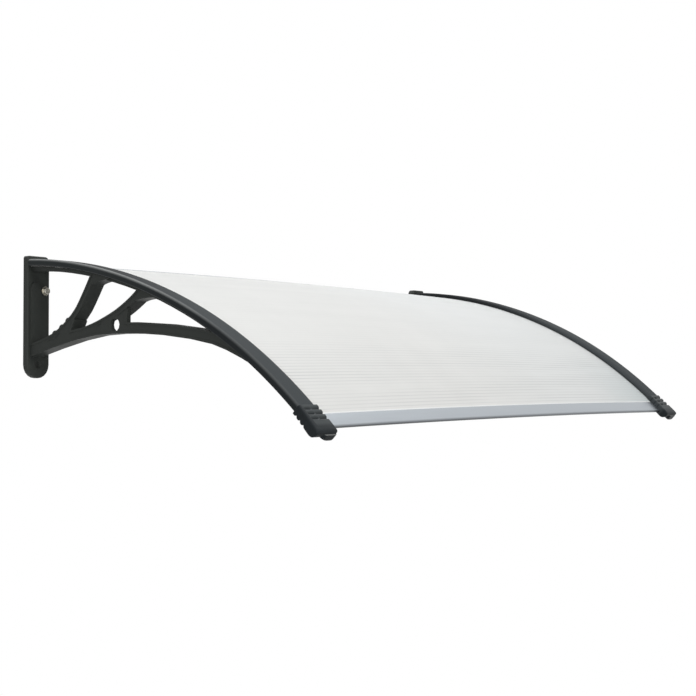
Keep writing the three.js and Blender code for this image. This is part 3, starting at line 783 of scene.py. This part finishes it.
def metal(name, dark, light, stretch, shade_span=None):
    """Metal with fine marks. Painted shade, where it has some, ends between two lengths around it.
    """
    shade_colour = (0.15, 0.16, 0.17)
    material, tree, shader = principled(name)
    lines = noise(tree, stretched(tree, object_place(tree), stretch), 1.0, detail=4)
    colour = mix(tree, lines, dark, light)
    if shade_span:
        around, _ = parts_of(tree, length_map(tree))
        # painted shade on the faces that look down, up to the given span
        colour = mix(tree, less(tree, ramp(tree, around, *shade_span)), colour, shade_colour)
    feed(tree, shader.inputs["Base Color"], colour)
    feed(tree, shader.inputs["Roughness"], between(tree, lines, low=0.30, high=0.44))
    feed(tree, shader.inputs["Metallic"], 1.0)
    bumped(tree, shader, lines, distance=0.00005, strength=0.5)
    return material


def front_aluminium():
    """Satin aluminium, with painted shade under the strip and on the lower half of its nose, fading
    out over the upper half.
    """
    outline = front_strip_outline()
    total = lengths(outline)
    top_rear = len(outline) - (ARC_STEPS + 1)  # the first point of the last rounding
    nose_top = top_rear - 1
    nose_tip = nose_top - ARC_STEPS
    # where the painted shade fades out, round the upper half of the nose
    shade_span = (total[nose_tip], total[nose_top])
    dark = (0.36, 0.39, 0.42)
    light = (0.44, 0.47, 0.50)
    return metal("front_aluminium", dark, light, DRAWN_LINES, shade_span)


def sheet_plastic():
    """Milky twin-wall sheet: the ribs show as fine lines, stronger in some places than in others.

    It has a painted cool reflection towards the right, painted shade in the right front corner, and
    a painted highlight on the sheet at the front strip."""
    warm = (0.715, 0.72, 0.71)
    warm_light = (0.785, 0.785, 0.775)
    # painted reflection: a cooler, paler colour towards the right side
    cool_reflection = (0.79, 0.815, 0.825)
    # painted shade: darker and cooler in the right front corner, where the right bracket lies below
    corner_shade = (0.63, 0.68, 0.69)
    rib_colour = (0.57, 0.58, 0.58)
    # painted highlight: a pale line on the sheet just behind the front strip
    seam_highlight_colour = (0.90, 0.91, 0.91)
    rib_half = 0.24  # of a line, as a share of the pitch
    rear_lines = 0.2  # strength of the lines at the rear, where it is 1 at the front
    lines_start = (0.55, 0.70)
    reflection_start = (0.5, 1.1)
    reflection_share = 0.5
    corner_shade_start = (1.06, 1.34)
    corner_shade_front = (0.58, 0.84)
    seam_highlight_gap = 0.0025
    seam_highlight_half = 0.0035
    patch_stretch = (26, 2.2, 1)
    tone_stretch = (1.2, 9, 1)
    material, tree, shader = principled("milky_sheet")
    place = length_map(tree)
    distance, x = parts_of(tree, place)

    ribs = calc(tree, "PINGPONG", calc(tree, "DIVIDE", distance, FLUTE_PITCH), 0.5)
    line = mapped(tree, ribs, (0.0, rib_half), (1.0, 0.0), "SMOOTHSTEP")
    uneven = noise(tree, stretched(tree, place, patch_stretch), 1.0, detail=3)
    at_front = ramp(tree, distance, *lines_start)
    towards_front = calc(tree, "MULTIPLY_ADD", at_front, 1 - rear_lines, rear_lines)
    strength = calc(tree, "MULTIPLY", between(tree, uneven, low=0.0, high=1.0), towards_front)
    lines = calc(tree, "MULTIPLY", line, strength)

    tones = noise(tree, stretched(tree, place, tone_stretch), 1.0, detail=2)
    milky = mix(tree, tones, warm, warm_light)
    # painted cool reflection, growing towards the right side
    reflection_mask = calc(tree, "MULTIPLY", ramp(tree, x, *reflection_start), reflection_share)
    reflected = mix(tree, reflection_mask, milky, cool_reflection)
    # painted shade in the right front corner
    at_right = ramp(tree, x, *corner_shade_start)
    corner = calc(tree, "MULTIPLY", at_right, ramp(tree, distance, *corner_shade_front))
    ribbed = mix(tree, lines, mix(tree, corner, reflected, corner_shade), rib_colour)
    # painted highlight on the sheet behind the front strip
    seam_highlight = band(tree, distance, FRONT_STRIP_REAR - seam_highlight_gap, seam_highlight_half)
    feed(tree, shader.inputs["Base Color"], mix(tree, seam_highlight, ribbed, seam_highlight_colour))

    feed(tree, shader.inputs["Roughness"], between(tree, uneven, low=0.42, high=0.5))
    feed(tree, shader.inputs["Specular IOR Level"], 0.3)
    feed(tree, shader.inputs["Transmission Weight"], 0.25)
    feed(tree, shader.inputs["IOR"], 1.45)
    bumped(tree, shader, lines, distance=0.00006, strength=0.5)
    return material


MATERIALS = {
    "bracket": bracket_plastic(),
    "cover": cover_plastic(),
    "cap": cap_plastic(),
    "sheet": sheet_plastic(),
    "front_aluminium": front_aluminium(),
    "aluminium": metal("satin_aluminium", (0.38, 0.41, 0.44), (0.46, 0.49, 0.52), DRAWN_LINES),
    "steel": metal("zinc_steel", (0.44, 0.42, 0.37), (0.56, 0.54, 0.48), PLATED_SPECKS),
}


# Building


def paint(thing, material):
    thing.data.materials.clear()
    thing.data.materials.append(MATERIALS[material])


def stand_for(thing, cad_node, material):
    """A piece made here takes the place of a CAD node."""
    paint(thing, material)
    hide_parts(cad_node)
    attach(thing, "root")


def dress(cad_node, material, bevel=0.0):
    """A CAD node that stays: smooth curved faces, its material, and bevelled edges if asked for."""
    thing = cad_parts[cad_node]
    smoothed(thing.data, CAD_SMOOTH_ANGLE)
    if bevel:
        modifier = thing.modifiers.new("edges", "BEVEL")
        modifier.width = bevel
        modifier.segments = BEVEL_SEGMENTS
        modifier.limit_method = "ANGLE"
        modifier.angle_limit = math.radians(BEVEL_ANGLE)
    paint(thing, material)


stand_for(make_sheet(), "canopy_sheet", "sheet")
stand_for(make_front_strip(), "front_edge_strip", "front_aluminium")
stand_for(make_rear_strip(), "rear_edge_strip", "aluminium")
for side in ("left", "right"):
    stand_for(make_cover(side), f"{side}_cover_strip", "cover")
    stand_for(make_cap(side), f"{side}_end_cap", "cap")
    dress(f"{side}_wall_bracket", "bracket", BRACKET_BEVEL)
    dress(f"{side}_wall_washer", "steel")
    dress(f"{side}_wall_bolt", "steel")
    for i in range(1, SCREWS + 1):
        dress(f"{side}_strip_screw_{i}", "steel")


# Studio


def make_floor():
    builder = bmesh.new()
    bmesh.ops.create_circle(builder, cap_ends=True, segments=FLOOR_SEGMENTS, radius=FLOOR_RADIUS)
    bmesh.ops.translate(builder, verts=builder.verts, vec=FLOOR_PLACE)
    floor = finished("floor", builder)
    material, _, shader = principled("pale_floor")
    shader.inputs["Base Color"].default_value = (0.82, 0.82, 0.82, 1)
    shader.inputs["Roughness"].default_value = 0.8
    floor.data.materials.append(material)


def make_world():
    """White where the camera, a mirror or glass looks, and a softer light on everything else."""
    world = bpy.data.worlds.new("studio")
    bpy.context.scene.world = world
    world.use_nodes = True
    tree = world.node_tree
    background = tree.nodes["Background"]
    background.inputs["Color"].default_value = (*WHITE, 1)
    path = tree.nodes.new("ShaderNodeLightPath").outputs
    seen = calc(tree, "MAXIMUM", path["Is Camera Ray"], path["Is Glossy Ray"])
    seen = calc(tree, "MAXIMUM", seen, path["Is Transmission Ray"])
    strength = mapped(tree, seen, (0.0, 1.0), (WORLD_LIGHT, 1.0), "LINEAR")
    feed(tree, background.inputs["Strength"], strength)


def make_lamp(name, place, target, size, power, colour=WHITE):
    lamp = bpy.data.lights.new(name, "AREA")
    lamp.shape = "DISK"
    lamp.size = size
    lamp.energy = power
    lamp.color = colour
    thing = bpy.data.objects.new(name, lamp)
    thing.location = place
    thing.rotation_euler = (Vector(target) - Vector(place)).to_track_quat("-Z", "Y").to_euler()
    bpy.context.scene.collection.objects.link(thing)


def make_camera():
    camera = bpy.data.cameras.new("camera")
    camera.sensor_width = SENSOR_WIDTH
    camera.lens = SENSOR_WIDTH * FOCAL_PIXELS / IMAGE_PIXELS
    thing = bpy.data.objects.new("camera", camera)
    thing.location = CAMERA_PLACE
    thing.rotation_euler = (math.pi / 2 + CAMERA_PITCH, 0, -CAMERA_YAW)
    bpy.context.scene.collection.objects.link(thing)
    bpy.context.scene.camera = thing


make_floor()
make_world()
make_lamp("key", place=(-1.0, -3.3, 1.9), target=(0, -0.5, -0.1), size=2.2, power=76, colour=WARM)
make_lamp("top", place=(0.4, -0.1, 2.6), target=(0.1, -0.4, -0.1), size=3.0, power=54, colour=COOL)
make_lamp("rim", place=(-0.9, 2.2, 2.3), target=(-0.2, -0.4, -0.1), size=1.2, power=24)
make_lamp("fill", place=(-2.8, -2.1, -0.2), target=(-0.6, -0.2, -0.1), size=1.6, power=26)
make_camera()
bpy.context.scene.view_settings.view_transform = "Standard"
